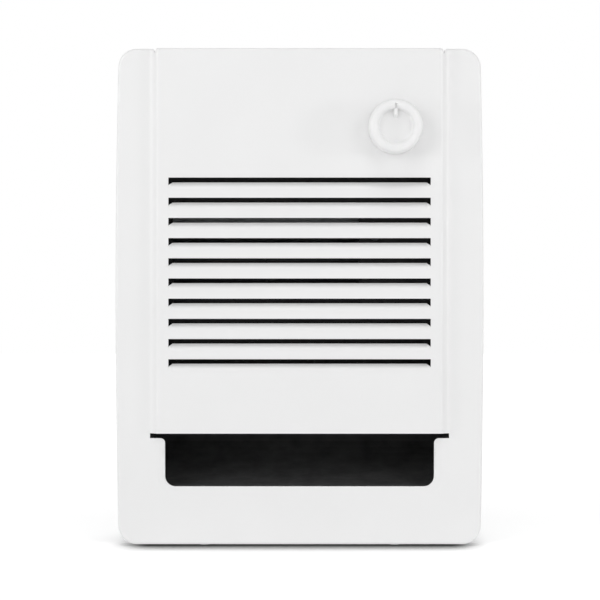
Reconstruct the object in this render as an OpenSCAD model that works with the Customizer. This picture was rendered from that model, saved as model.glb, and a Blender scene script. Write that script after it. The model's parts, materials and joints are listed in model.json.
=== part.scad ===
// Recessed bathroom wall fan heater. A painted steel grille with pressed louvres and a thermostat
// knob covers a galvanised wall box that holds a cross-flow blower and a finned heating element.
// Lengths are in millimetres. X runs to the right, Y into the wall and Z up. The origin is at the
// middle of the front plate, in the surface of the wall.

/* [Front grille] */
// Width of the front plate at mid height
plate_w = 269; // [264:0.5:276]
// Height of the front plate at its middle
plate_h = 362; // [360:0.5:366]
// Outward bow of each side edge
side_bow = 2; // [0:0.1:2.4]
// Outward bow of the top and bottom edges
end_bow = 0; // [0:0.1:1]
// Radius of the front plate's corners
corner_r = 13.5; // [8:0.5:18]
// How far the plate's border stands off the wall
border_d = 22; // [21:0.5:24]
// How far the centre panel stands proud of the border
panel_raise = 5; // [3:0.5:6]
// Half width of the raised centre panel
panel_half_w = 104; // [102:0.5:106]
// Width of the slope on each side of the centre panel
slope_w = 5.5; // [4.5:0.5:6.5]
// Thickness of the grille's sheet steel
grille_t = 1; // [0.8:0.1:1.2]
// Outer radius of the grille's bends
bend_r = 2; // [1.5:0.1:4]

/* [Louvres] */
// Number of louvres
louvre_count = 10; // [3:1:10]
// Distance from one louvre to the next
louvre_pitch = 14.7; // [12:0.05:15]
// Height of the top louvre's lip above the middle of the plate
louvre_top = 86.6; // [80:0.1:90]
// Half length of a louvre
louvre_half_w = 95.5; // [80:0.1:98]
// Open height of a louvre, below its lip
louvre_gap = 3.3; // [2:0.1:3.8]
// Height of the curved blade below the gap
louvre_ramp = 5.6; // [4:0.1:7]
// How far the blade is pressed in
louvre_depth = 4.5; // [3:0.1:5.5]

/* [Outlet] */
// Level of the centre panel's free lower edge
cut_z = -99.9; // [-101:0.1:-98]
// Height of the slot under the centre panel
slot_h = 3.5; // [3:0.1:5]
// Half width of the outlet window
window_half_w = 98.2; // [90:0.1:100]
// Level of the outlet window's lower edge
window_z = -138.6; // [-142:0.1:-130]
// Radius of the window's lower corners
window_r = 7.5; // [4:0.5:10]
// Radius where the slot turns down into the window
shoulder_r = 3.5; // [2:0.5:4]

/* [Knob] */
// Distance of the knob's axis to the right of the middle
knob_x = 69.5; // [66:0.5:71]
// Height of the knob's axis above the middle
knob_z = 123; // [121:0.1:125]
// Outer radius of the knob
knob_r = 19.5; // [18:0.5:21]
// Height of the knob
knob_h = 19.5; // [18:0.5:22]
// Radius of the knob's round recess
recess_r = 12.5; // [11:0.1:14]
// Depth of the knob's recess
recess_d = 7; // [4:0.5:7]

/* [Wall box] */
// Outer width of the wall box
box_w = 232; // [231:0.5:234]
// Outer height of the wall box
box_h = 322; // [321:0.5:324]
// Depth of the wall box behind the wall's surface
box_d = 92; // [91.5:0.5:100]
// Thickness of the wall box's sheet steel
box_t = 0.9; // [0.7:0.1:1]
// Radius of a cable knockout
knockout_r = 11.1; // [11:0.1:11.5]
// Radius of a stud screw hole
stud_hole_r = 2.75; // [2:0.25:3.5]
// Distance between the stud screw holes on one side
stud_spacing = 220; // [200:5:230]

/* [Blower] */
// Outer radius of the blower wheel
wheel_r = 32; // [31:0.5:32.5]
// Number of blades on the blower wheel
blade_count = 26; // [16:1:32]
// Distance of the blower's axis behind the wall's surface
axis_y = 44; // [43.5:0.5:44.5]
// Height of the blower's axis above the middle
axis_z = 8; // [7:0.5:9]
// Radius of the motor shaft
shaft_r = 3; // [2.5:0.25:3]
// Gap between a shaft and its bearing
running_gap = 0.05; // [0.02:0.01:0.08]

/* [Heating element] */
// Number of fins on the heating element
fin_count = 24; // [8:1:24]
// Distance from one fin to the next
fin_pitch = 4.7; // [3:0.1:4.7]
// Radius of the element's sheath tube
tube_r = 3.75; // [3:0.25:4]

/* [Hidden] */
$fn = 64;

// Depths of the grille's faces
panel_y = -(border_d + panel_raise);
border_y = -border_d;
slope_per_mm = slope_w / panel_raise;

// Inner face of its upper flange; the lower one mirrors it
flange_z = plate_h / 2 - grille_t;

// Wall box
bx = box_w / 2;
bz = box_h / 2;
cap_flange = 8;
lip_top = 172;
lip_half_w = 100;
lug_z = [-86, 145];
lug_x = 107;
front_fix_x = 70;
grille_screw_y = -8;

// Screws: radius of the shank, and of the tapped hole that it turns in
screw_r = 1.6;
tapped_r = 1.65;
clear_r = 2.25;

// Chassis
chassis_y = 6;
chassis_t = 1;
chassis_back = chassis_y + chassis_t;
chassis_half_w = 113;
chassis_z = [-97, 157];
intake_x = [-94, 44];
intake_z = [-14, 62];

// Blower: limits along x, and the scroll's gap to the wheel
left_plate_x = [-99, -98.2];
right_plate_x = [49.4, 50.2];
wheel_x = [-95, 46];
disc_t = 1;
guide_gap = 2.5;
guide_growth = 8.5;
guide_t = 0.8;
guide_start = -10;
guide_end = 110;
plate_screw_x = [-105, 56];
plate_screw_z = [-60, 45];

// Outlet scoop
shelf_z = [-98, -97];
scoop_half_w = 111.5;
scoop_front = -19.5;
scoop_back = 86;
scoop_top = -98.2;
scoop_depth = 42;
scoop_t = 0.8;
foot_x = [-50, 50];
foot_y = 30;
foot_screw_y = 38;

// Motor
core_x = [62, 82];
rotor_r = 12;
air_gap = 0.5;
bolt_dy = 18;
bearing_r = 5;

// Heating element
run_y = [41, 67];
run_z = -58;
fin_x = -74;
bend_x = -78;

// Thermostat
bush_r = 4.9;

// Wires
wire_r = 1.5;
wire_sides = 8;
wire_steps = 4;

// ---------------------------------------------------------------- shared shapes

// A block given by its limits along x, y and z
module slab(x, y, z) {
    translate([x[0], y[0], z[0]]) cube([x[1] - x[0], y[1] - y[0], z[1] - z[0]]);
}

// A shape drawn in (y, z), from x0 to x1
module along_x(x) {
    translate([x[0], 0, 0]) rotate([90, 0, 90]) linear_extrude(x[1] - x[0]) children();
}

// A shape drawn in (x, z), from y0 to y1
module along_y(y) {
    translate([0, y[1], 0]) rotate([90, 0, 0]) linear_extrude(y[1] - y[0]) children();
}

// A shape drawn in (x, y), from z0 to z1
module along_z(z) {
    translate([0, 0, z[0]]) linear_extrude(z[1] - z[0]) children();
}

// Round bars along each axis
module bar_x(r, x, y, z) {
    translate([x[0], y, z]) rotate([0, 90, 0]) cylinder(r = r, h = x[1] - x[0]);
}
module bar_y(r, y, x, z) {
    translate([x, y[1], z]) rotate([90, 0, 0]) cylinder(r = r, h = y[1] - y[0]);
}
module bar_z(r, z, x, y) {
    translate([x, y, z[0]]) cylinder(r = r, h = z[1] - z[0]);
}

// Points of an arc from angle a0 to a1, in n steps
function arc(cx, cy, r, a0, a1, n) =
    [for (i = [0:n]) let (a = a0 + (a1 - a0) * i / n) [cx + r * cos(a), cy + r * sin(a)]];

function unit(v) = v / norm(v);
function side_of(d) = [-d[1], d[0]];
function path_normal(p, i) =
    side_of(unit(p[min(i + 1, len(p) - 1)] - p[max(i - 1, 0)]));

// A sheet of thickness t bent along the path p
function strip(p, t) = concat(
    [for (i = [0:len(p) - 1]) p[i] + path_normal(p, i) * t / 2],
    [for (i = [len(p) - 1:-1:0]) p[i] - path_normal(p, i) * t / 2]
);

// A solid through closed rings that all have the same number of points
module loft(rings) {
    n = len(rings[0]);
    last = len(rings) - 1;
    polyhedron(
        points = [for (ring = rings) each ring],
        faces = concat(
            [[for (i = [0:n - 1]) i]],
            [[for (i = [n - 1:-1:0]) last * n + i]],
            [for (k = [0:last - 1], i = [0:n - 1])
                let (a = k * n + i, b = k * n + (i + 1) % n)
                [a, a + n, b + n, b]]
        )
    );
}

// Cross-head screw: its head's underside is at the origin, and its shank runs along -Z
module screw(head_r, head_h, shank_len) {
    difference() {
        cylinder(r = head_r, h = head_h);
        for (turn = [0, 90])
            rotate([0, 0, turn])
                slab([-head_r * 0.55, head_r * 0.55], [-0.4, 0.4], [head_h * 0.45, head_h + 1]);
    }
    translate([0, 0, -shank_len]) cylinder(r = screw_r, h = shank_len);
}

// A screw at a place, driven along +Y
module screw_y(x, y, z, head_r, head_h, shank_len) {
    translate([x, y, z]) rotate([90, 0, 0]) screw(head_r, head_h, shank_len);
}

// Six-sided nut on the x axis
module nut_x(r, x, y, z, hole_r) {
    difference() {
        translate([x[0], y, z]) rotate([0, 90, 0]) cylinder(r = r, h = x[1] - x[0], $fn = 6);
        bar_x(hole_r, [x[0] - 1, x[1] + 1], y, z);
    }
}

// ---------------------------------------------------------------- front grille

// The plate's outline, drawn in by inset: bowed edges between round corners
function plate_outline(inset) =
    let (
        hw = plate_w / 2 - side_bow - inset,
        hh = plate_h / 2 - end_bow - inset,
        r = corner_r - inset,
        sx = hw - r,
        sz = hh - r,
        steps = 8,
        inner = [for (i = [1:steps - 1]) 2 * i / steps - 1]
    )
    concat(
        [for (s = inner) [hw + side_bow * (1 - s * s), s * sz]],
        arc(sx, sz, r, 0, 90, steps),
        [for (s = inner) [-s * sx, hh + end_bow * (1 - s * s)]],
        arc(-sx, sz, r, 90, 180, steps),
        [for (s = inner) [-hw - side_bow * (1 - s * s), -s * sz]],
        arc(-sx, -sz, r, 180, 270, steps),
        [for (s = inner) [s * sx, -hh - end_bow * (1 - s * s)]],
        arc(sx, -sz, r, 270, 360, steps)
    );

// A pan of the plate's outline, from y0 to its face, with a rolled edge of radius r
module pan(y0, face_y, inset, r) {
    bend_steps = 5;
    loft(concat(
        [[for (p = plate_outline(inset)) [p[0], y0, p[1]]]],
        [for (i = [0:bend_steps]) let (a = 90 * i / bend_steps)
            [for (p = plate_outline(inset + r * (1 - cos(a))))
                [p[0], face_y + r * (1 - sin(a)), p[1]]]]
    ));
}

// The prism that holds the centre panel, from its free edge up; inset is measured along x
module panel_prism(inset, z0) {
    top = panel_half_w - slope_per_mm - inset;
    foot = panel_half_w + slope_w + slope_per_mm - inset;
    along_z([z0, plate_h])
        polygon([
            [-foot, 2], [-foot, border_y + 1], [-top, panel_y - 1],
            [top, panel_y - 1], [foot, border_y + 1], [foot, 2]
        ]);
}

// The plate as a solid block: the border, and the raised panel above the slot
module plate_block(y0, inset) {
    slope_inset = inset * norm([slope_w, panel_raise]) / panel_raise;
    pan(y0, border_y + inset, inset, bend_r - inset);
    intersection() {
        pan(y0, panel_y + inset, inset, bend_r - inset);
        panel_prism(slope_inset, cut_z - (inset > 0 ? 2 : 0));
    }
}

// Front profile of a blade, from its free edge to the panel; z is the louvre's lip
function blade_curve(z, y_shift) = [
    for (i = [0:6]) let (s = i / 6)
        [panel_y + y_shift + louvre_depth * (1 - s) ^ 2, z - louvre_gap - louvre_ramp * s]
];
function reversed(p) = [for (i = [len(p) - 1:-1:0]) p[i]];

module louvre_blade(z) {
    along_x([-louvre_half_w, louvre_half_w])
        polygon(concat(blade_curve(z, 0), reversed(blade_curve(z, grille_t))));
}

// The closed end of a louvre, between the panel and the blade
module louvre_end(x, z) {
    along_x(x)
        polygon(concat(
            [[panel_y + 0.3, z + 0.5], [panel_y + louvre_depth, z - 0.8 * louvre_gap]],
            blade_curve(z, grille_t / 2)
        ));
}

module louvres() {
    for (i = [0:louvre_count - 1]) {
        z = louvre_top - i * louvre_pitch;
        louvre_blade(z);
        louvre_end([-louvre_half_w, -louvre_half_w + grille_t], z);
        louvre_end([louvre_half_w - grille_t, louvre_half_w], z);
    }
}

module louvre_cuts() {
    for (i = [0:louvre_count - 1]) {
        z = louvre_top - i * louvre_pitch;
        slab([-louvre_half_w, louvre_half_w], [panel_y - 1, panel_y + 2], [z - louvre_gap - louvre_ramp, z]);
    }
}

// The slot under the panel and the window below it, in one outline
module outlet_outline() {
    slot_w = panel_half_w + slope_w - 0.3;
    slot_z = cut_z - slot_h;
    shoulder = window_half_w + shoulder_r;
    corner_x = window_half_w - window_r;
    corner_z = window_z + window_r;
    polygon(concat(
        [[-slot_w, cut_z], [-slot_w, slot_z]],
        arc(-shoulder, slot_z - shoulder_r, shoulder_r, 90, 0, 6),
        arc(-corner_x, corner_z, window_r, 180, 270, 8),
        arc(corner_x, corner_z, window_r, 270, 360, 8),
        arc(shoulder, slot_z - shoulder_r, shoulder_r, 180, 90, 6),
        [[slot_w, slot_z], [slot_w, cut_z]]
    ));
}

module front_grille() color("white") {
    difference() {
        plate_block(0, 0);
        plate_block(1, grille_t);
        louvre_cuts();
        along_y([panel_y - 1, border_y + 4]) outlet_outline();
        bar_y(4.75, [panel_y - 1, panel_y + 2], knob_x, knob_z);
        for (side = [-1, 1]) {
            // relief notch where the panel's top flange parts from the border's
            along_y([panel_y - 1, 1])
                polygon([
                    [side * 103.5, plate_h / 2 + 1], [side * 107.5, plate_h / 2 + 1],
                    [side * 105.5, plate_h / 2 - 3.6]
                ]);
            bar_z(clear_r, [-plate_h / 2 - 1, -plate_h / 2 + 4], side * front_fix_x, grille_screw_y);
        }
    }
    louvres();
}

// Spot-welded hooks that drop behind the wall box's upper lip
module grille_hooks() color("silver") {
    for (side = [-1, 1]) {
        x = [side * front_fix_x - 8, side * front_fix_x + 8];
        slab(x, [-18, -10], [flange_z - 0.9, flange_z]);
        slab(x, [-10.9, -10], [173, flange_z]);
    }
}

module grille_screws() color("white") {
    for (side = [-1, 1])
        translate([side * front_fix_x, grille_screw_y, -plate_h / 2])
            rotate([180, 0, 0]) screw(3.6, 1.2, 9);
}

// ---------------------------------------------------------------- knob and thermostat

// Half profile of the knob: a straight side, a full round rim and a dished recess
function knob_profile() =
    let (rim_r = (knob_r - recess_r) / 2, rim_h = knob_h - rim_r, rim_c = knob_r - rim_r)
    concat(
        [[0, 0], [knob_r - 0.4, 0], [knob_r, 0.4]],
        arc(rim_c, rim_h, rim_r, 0, 180, 14),
        [[recess_r - 0.6, knob_h - recess_d + 0.9], [recess_r - 1.6, knob_h - recess_d + 0.2],
         [0, knob_h - recess_d - 0.4]]
    );

// D-shaped bar that runs away from the wall, with its flat on the right
module d_bar(r, h) {
    difference() {
        cylinder(r = r, h = h);
        slab([r - 1, r + 1], [-r - 1, r + 1], [-1, h + 1]);
    }
}

module knob() color("white") {
    gap = 0.5;
    post_r = 5.5;
    translate([knob_x, panel_y - gap, knob_z]) rotate([90, 0, 0]) {
        difference() {
            rotate_extrude() polygon(knob_profile());
            difference() {
                translate([0, 0, -1]) cylinder(r = knob_r - 2, h = knob_h - recess_d - 1.5);
                translate([0, 0, -2]) cylinder(r = post_r, h = knob_h);
            }
            translate([0, 0, -1]) d_bar(shaft_r + 0.02, 12);
            slab([-0.8, 0.8], [recess_r + 1.1, recess_r + 3.7], [knob_h - 1.6, knob_h + 1]);
        }
        slab([-1.5, 1.5], [6.5, recess_r + 1], [knob_h - recess_d - 1, knob_h - 2.8]);
    }
}

module knob_clip() color("silver") {
    translate([knob_x, panel_y - 3, knob_z]) rotate([90, 0, 0])
        rotate([0, 0, 110]) rotate_extrude(angle = 320) translate([5.55, 0]) square([0.5, 5]);
}

module thermostat_shaft() color("silver") {
    bar_y(shaft_r, [-27, 17], knob_x, knob_z);
    translate([knob_x, -27, knob_z]) rotate([90, 0, 0]) d_bar(shaft_r, 11);
}

module thermostat_cam() color("ivory") {
    difference() {
        union() {
            bar_y(5, [13, 17], knob_x, knob_z);
            slab([knob_x - 3, knob_x + 3], [13, 17], [knob_z - 8, knob_z]);
        }
        bar_y(shaft_r + 0.02, [12, 18], knob_x, knob_z);
    }
}

module thermostat_body() color("#3a2a22") {
    difference() {
        slab([knob_x - 19.5, knob_x + 19.5], [9, 33], [108, 137]);
        slab([knob_x - 16, knob_x + 16], [12, 30], [107, 134]);
        bar_y(bush_r + 0.05, [8, 13], knob_x, knob_z);
        for (dx = [-10.5, 10.5])
            slab([knob_x + dx - 3.3, knob_x + dx + 3.3], [29, 34], [121.5, 122.5]);
    }
}

module thermostat_bush() color("goldenrod") {
    difference() {
        union() {
            bar_y(bush_r, [1.5, 12], knob_x, knob_z);
            bar_y(8, [chassis_back, 9], knob_x, knob_z);
        }
        bar_y(shaft_r + running_gap, [0, 13], knob_x, knob_z);
    }
}

module thermostat_nut() color("silver") {
    difference() {
        translate([knob_x, chassis_y, knob_z]) rotate([90, 0, 0]) cylinder(r = 8.1, h = 2.5, $fn = 6);
        bar_y(bush_r + 0.05, [3, 7], knob_x, knob_z);
    }
}

// Contact springs with a rivet contact each, and the bimetal strip behind them
module thermostat_blades() color("goldenrod") {
    for (y = [20, 23]) {
        slab([knob_x - 15.9, knob_x + 10], [y, y + 0.5], [113, 119]);
        bar_y(2, [y + 0.5, y + 1.4], knob_x + 6, 116);
    }
    slab([knob_x - 15.9, knob_x + 14], [26.6, 27.6], [111, 121]);
}

module thermostat_terminals() color("goldenrod") {
    for (dx = [-10.5, 10.5])
        slab([knob_x + dx - 3.2, knob_x + dx + 3.2], [29.5, 41], [121.6, 122.4]);
}

// ---------------------------------------------------------------- wall box and chassis

// A half-punched disc, still held all round by thin metal
module knockout_score(z_top) {
    translate([0, 0, z_top - 0.4]) difference() {
        cylinder(r = knockout_r, h = 1);
        translate([0, 0, -1]) cylinder(r = knockout_r - 1, h = 3);
    }
}

// Sides and back of the box in one folded sheet, with the lugs that the chassis is screwed to
module wall_box() color("gainsboro") {
    difference() {
        union() {
            difference() {
                slab([-bx, bx], [0, box_d], [-bz + box_t, bz - box_t]);
                slab([-bx + box_t, bx - box_t], [-1, box_d - box_t], [-bz, bz]);
            }
            for (side = [-1, 1], z = lug_z)
                slab([min(side * bx, side * 101), max(side * bx, side * 101)],
                     [chassis_back, chassis_back + box_t], [z - 7, z + 7]);
        }
        for (side = [-1, 1]) {
            for (z = lug_z) bar_y(tapped_r, [chassis_y, chassis_y + 4], side * lug_x, z);
            for (z = [-stud_spacing / 2, stud_spacing / 2])
                bar_x(stud_hole_r, side > 0 ? [bx - 2, bx + 1] : [-bx - 1, -bx + 2], 30, z);
            // half-punched knockouts in the back
            translate([side * 60, box_d, 100]) rotate([-90, 0, 0]) knockout_score(0);
        }
        bar_y(tapped_r, [box_d - 2, box_d + 1], -98, 125);
    }
}

// One end of the box, from its outer face at z = bz: a sheet with three flanges inside the walls
module box_cap() {
    slab([-bx, bx], [0, box_d], [bz - box_t, bz]);
    difference() {
        slab([-bx + box_t, bx - box_t], [0, box_d - box_t], [bz - cap_flange, bz - box_t]);
        slab([-bx + 2 * box_t, bx - 2 * box_t], [-1, box_d - 2 * box_t], [bz - cap_flange - 1, bz]);
    }
    slab([-bx, bx], [-box_t, 0], [bz - box_t, bz]);
}

module box_top() color("gainsboro") {
    difference() {
        union() {
            box_cap();
            // lip that lies on the wall above the opening, with a tongue for each hook
            slab([-lip_half_w, lip_half_w], [-box_t, 0], [bz - box_t, lip_top]);
            for (side = [-1, 1]) {
                x = [side * front_fix_x - 9, side * front_fix_x + 9];
                slab(x, [-12, 0], [lip_top - box_t, lip_top]);
                slab(x, [-12, -12 + box_t], [lip_top - box_t, lip_top + 4.5]);
            }
        }
        // the open cable knockout on the left, and its closed twin on the right
        bar_z(knockout_r, [bz - 2, bz + 1], -60, 55);
        translate([60, 55, bz]) knockout_score(0);
    }
}

module box_bottom() color("gainsboro") {
    difference() {
        union() {
            mirror([0, 0, 1]) box_cap();
            // lip that lies on the wall below the opening, with a tab for each grille screw
            slab([-lip_half_w, lip_half_w], [-box_t, 0], [-flange_z, -bz + box_t]);
            for (side = [-1, 1])
                slab([side * front_fix_x - 9, side * front_fix_x + 9], [-14, 0],
                     [-flange_z, -flange_z + box_t]);
        }
        for (side = [-1, 1])
            bar_z(tapped_r, [-flange_z - 1, -flange_z + 2], side * front_fix_x, grille_screw_y);
        for (x = foot_x) bar_z(tapped_r, [-bz - 1, -bz + 2], x, foot_screw_y);
    }
}

module ground_screw() color("green") {
    screw_y(-98, box_d - box_t, 125, 4.2, 2.4, 3);
}

module chassis() color("#1c1c1c") {
    difference() {
        union() {
            slab([-chassis_half_w, chassis_half_w], [chassis_y, chassis_back], chassis_z);
            slab([-chassis_half_w, chassis_half_w], [chassis_y, chassis_y + 14], [chassis_z[1] - 1, chassis_z[1]]);
        }
        slab(intake_x, [chassis_y - 1, chassis_back + 1], intake_z);
        bar_y(bush_r + 0.1, [chassis_y - 1, chassis_back + 1], knob_x, knob_z);
        for (side = [-1, 1], z = lug_z)
            bar_y(clear_r, [chassis_y - 1, chassis_back + 1], side * lug_x, z);
        for (x = plate_screw_x, z = plate_screw_z)
            bar_y(clear_r, [chassis_y - 1, chassis_back + 1], x, z);
    }
}

module chassis_screws() color("#2a2a2a") {
    for (side = [-1, 1], z = lug_z) screw_y(side * lug_x, chassis_y, z, 3.9, 2.2, 7);
}

module terminal_block() color("ivory") {
    difference() {
        slab([-87, -57], [chassis_back, 22], [118, 136]);
        slab([-73, -71], [16, 23], [117, 137]);
        for (x = [-79.5, -64.5]) {
            bar_y(3, [13, 23], x, 127);
            bar_z(2, [117, 137], x, 12.5);
        }
    }
}

module terminal_screws() color("goldenrod") {
    for (x = [-79.5, -64.5])
        difference() {
            bar_y(2.8, [15, 20], x, 127);
            slab([x - 3, x + 3], [19, 21], [126.6, 127.4]);
        }
}

// ---------------------------------------------------------------- blower casing

// Side plate of the blower, drawn in (y, z)
module end_plate_outline() {
    polygon([
        [chassis_back, -96], [88, -96], [88, 34], [74, 56], [46, 66], [chassis_back, 66]
    ]);
}

// Flange that fastens an end plate to the chassis
module end_plate_flange(x) {
    slab(x, [chassis_back, chassis_back + 0.8], [-70, 55]);
}

module left_end_plate() color("#9a9c9e") {
    difference() {
        union() {
            along_x(left_plate_x) end_plate_outline();
            end_plate_flange([-110, -98.6]);
        }
        bar_x(9, [-100, -97], axis_y, axis_z);
        for (z = plate_screw_z) bar_y(tapped_r, [chassis_back - 1, 9], plate_screw_x[0], z);
        bar_y(tapped_r, [chassis_back - 1, 9], plate_screw_x[0], 0);
    }
}

module right_end_plate() color("#9a9c9e") {
    x = [right_plate_x[0] - 1, right_plate_x[1] + 1];
    difference() {
        union() {
            along_x(right_plate_x) end_plate_outline();
            end_plate_flange([49.8, 61]);
        }
        bar_x(9, x, axis_y, axis_z);
        for (dy = [-bolt_dy, bolt_dy]) bar_x(2, x, axis_y + dy, axis_z);
        for (y = run_y) bar_x(4.6, x, y, run_z);
        bar_x(5, x, 15, -80);
        for (z = plate_screw_z) bar_y(tapped_r, [chassis_back - 1, 9], plate_screw_x[1], z);
    }
}

module end_plate_screws() color("#2a2a2a") {
    for (x = plate_screw_x, z = plate_screw_z) screw_y(x, chassis_y, z, 3.6, 2, 6);
}

// A point of the scroll at angle a, measured from straight up towards the back
function scroll_point(a) =
    let (r = wheel_r + guide_gap + guide_growth * (a - guide_start) / (guide_end - guide_start))
    [axis_y + r * sin(a), axis_z + r * cos(a)];

// Inlet lip, scroll and back wall of the duct in one bent sheet
module rear_guide() color("#9a9c9e") {
    fix_y = chassis_back + guide_t / 2;
    spiral = [for (i = [0:12]) scroll_point(guide_start + (guide_end - guide_start) * i / 12)];
    duct_foot = [scroll_point(guide_end)[0], -96];
    along_x([-98, 49.2])
        polygon(strip(concat([[fix_y, 76], [fix_y, 65]], spiral, [duct_foot]), guide_t));
}

// The lip close to the wheel and the front wall of the duct
module vortex_tongue() color("#9a9c9e") {
    fix_y = chassis_back + guide_t / 2;
    difference() {
        along_x([-98, 49.2])
            polygon(strip([
                [fix_y, -34], [fix_y, -18], [11, -14.5], [14.5, -14.5], [19, -20], [24, -34], [24, -96]
            ], guide_t));
        for (dx = [-13, 13]) bar_y(tapped_r, [20, 28], -30 + dx, -70);
        bar_y(6.5, [20, 28], -30, -70);
    }
}

// Shelf that parts the air drawn in from the air blown out
module outlet_shelf() color("#1c1c1c") {
    difference() {
        union() {
            slab([-scoop_half_w, scoop_half_w], [scoop_front, 24], shelf_z);
            slab([right_plate_x[1] + 0.5, scoop_half_w], [23, scoop_back], shelf_z);
            slab([-scoop_half_w, scoop_half_w], [chassis_y - 1, chassis_y], [shelf_z[0], shelf_z[1] + 9]);
        }
        for (side = [-1, 1]) slab(
            [side * lug_x - 8, side * lug_x + 8], [chassis_y - 2, chassis_y + 0.5], [-95, -70]);
    }
}

// Quarter ellipse from the window's lower edge up to the back of the duct
function scoop_curve(inset) = [
    for (i = [0:14]) let (a = 90 * i / 14)
        [scoop_front + (scoop_back - scoop_front - inset) * sin(a),
         scoop_top - (scoop_depth - inset) * cos(a)]
];

module outlet_deflector() color("#141414") {
    along_x([-scoop_half_w, scoop_half_w])
        polygon(concat(scoop_curve(0), reversed(scoop_curve(scoop_t))));
}

// Flat ends welded into the scoop
module deflector_cheeks() color("#141414") {
    for (x = [[-scoop_half_w, -scoop_half_w + scoop_t], [scoop_half_w - scoop_t, scoop_half_w]])
        along_x(x) polygon(concat([[scoop_front, scoop_top]], scoop_curve(scoop_t)));
}

// Feet welded under the scoop, which hold it on the box's lower end
module deflector_feet() color("#141414") {
    floor_z = -bz + box_t;
    difference() {
        for (x = foot_x) {
            slab([x - 9, x + 9], [foot_y, foot_y + scoop_t], [floor_z, scoop_top - 0.8 * scoop_depth]);
            slab([x - 9, x + 9], [foot_y, foot_y + 15], [floor_z, floor_z + scoop_t]);
        }
        along_x([-scoop_half_w, scoop_half_w]) polygon(concat([[scoop_front, scoop_top]], scoop_curve(0)));
        for (x = foot_x) bar_z(clear_r, [-bz, -bz + 3], x, foot_screw_y);
    }
}

module deflector_screws() color("#2a2a2a") {
    for (x = foot_x)
        translate([x, foot_screw_y, -bz + box_t + scoop_t]) screw(3.6, 2, 6);
}

// ---------------------------------------------------------------- blower wheel

// One forward-curved blade, drawn in (y, z) about the axis
module blade_outline() {
    inner_r = wheel_r - 7;
    points = [for (i = [0:4]) let (u = i / 4, r = inner_r + 6.8 * u, a = 20 * u * u) [r * cos(a), r * sin(a)]];
    polygon(strip(points, 0.6));
}

module blower_wheel() color("#3c3e40") {
    stub_hub_r = 7;
    difference() {
        union() {
            for (i = [0:blade_count - 1])
                along_x([wheel_x[0] + disc_t / 2, wheel_x[1] - disc_t / 2])
                    translate([axis_y, axis_z]) rotate(360 * i / blade_count) blade_outline();
            bar_x(wheel_r, [wheel_x[0], wheel_x[0] + disc_t], axis_y, axis_z);
            bar_x(wheel_r, [wheel_x[1] - disc_t, wheel_x[1]], axis_y, axis_z);
            difference() {
                bar_x(wheel_r, [-25, -24], axis_y, axis_z);
                bar_x(wheel_r - 7.5, [-26, -23], axis_y, axis_z);
            }
            bar_x(stub_hub_r, [wheel_x[0], -86], axis_y, axis_z);
        }
        bar_x(shaft_r + 0.02, [wheel_x[0] - 1, -85], axis_y, axis_z);
        bar_x(6.02, [wheel_x[1] - 2, wheel_x[1] + 1], axis_y, axis_z);
    }
}

module wheel_hub() color("silver") {
    difference() {
        union() {
            bar_x(9, [33, wheel_x[1] - disc_t], axis_y, axis_z);
            bar_x(6, [44, 46.4], axis_y, axis_z);
        }
        bar_x(shaft_r + 0.02, [32, 47], axis_y, axis_z);
        bar_z(2.05, [axis_z, axis_z + 10], 39, axis_y);
    }
}

module hub_screw() color("#303030") {
    difference() {
        bar_z(2, [axis_z + shaft_r + 0.1, axis_z + 9.5], 39, axis_y);
        translate([39, axis_y, axis_z + 7.5]) cylinder(r = 1.1, h = 3, $fn = 6);
    }
}

module stub_shaft() color("silver") {
    bar_x(shaft_r, [-104, -87], axis_y, axis_z);
}

module bearing_bush() color("#a8763e") {
    difference() {
        bar_x(bearing_r, [-102, -96.4], axis_y, axis_z);
        bar_x(shaft_r + running_gap, [-103, -95], axis_y, axis_z);
    }
}

module bearing_rubber() color("#222222") {
    difference() {
        union() {
            bar_x(8.95, [-101.5, -96.6], axis_y, axis_z);
            bar_x(10.5, [-101.5, left_plate_x[0]], axis_y, axis_z);
            bar_x(10.5, [left_plate_x[1], -96.6], axis_y, axis_z);
        }
        bar_x(bearing_r + 0.02, [-103, -95], axis_y, axis_z);
    }
}

// ---------------------------------------------------------------- motor

module motor_core() color("#7c7f82") {
    difference() {
        slab(core_x, [20, 68], [-42, 32]);
        slab([core_x[0] - 1, core_x[1] + 1], [31, 57], [-32, -10]);
        bar_x(rotor_r + air_gap, [core_x[0] - 1, core_x[1] + 1], axis_y, axis_z);
        for (dy = [-bolt_dy, bolt_dy])
            bar_x(2, [core_x[0] - 1, core_x[1] + 1], axis_y + dy, axis_z);
        for (side = [-1, 1], dy = [11, 19])
            bar_x(1.2, [core_x[0] - 1, core_x[1] + 1], axis_y + side * dy, axis_z + side * 14);
    }
}

// Copper ring round one tip of each pole
module shading_rings() color("#b8703a") {
    for (side = [-1, 1]) {
        z = axis_z + side * 14;
        for (dy = [11, 19]) bar_x(1.15, [core_x[0] - 1.2, core_x[1] + 1.2], axis_y + side * dy, z);
        for (x = [core_x[0] - 1.3, core_x[1]])
            slab([x, x + 1.3], [axis_y + side * 15 - 5, axis_y + side * 15 + 5], [z - 1.1, z + 1.1]);
    }
}

module motor_bobbin() color("ivory") {
    difference() {
        union() {
            slab([60.8, 83.2], [31.4, 56.6], [-43.2, -30.8]);
            for (y = [31.4, 55.4]) slab([53.5, 90.5], [y, y + 1.2], [-50.5, -23.5]);
        }
        slab([61.9, 82.1], [31, 57], [-42.1, -31.9]);
    }
}

module motor_winding() color("#a5552a") {
    difference() {
        slab([55, 89], [32.7, 55.3], [-49, -25]);
        slab([60.7, 83.3], [32, 56], [-43.3, -30.7]);
    }
}

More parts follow.
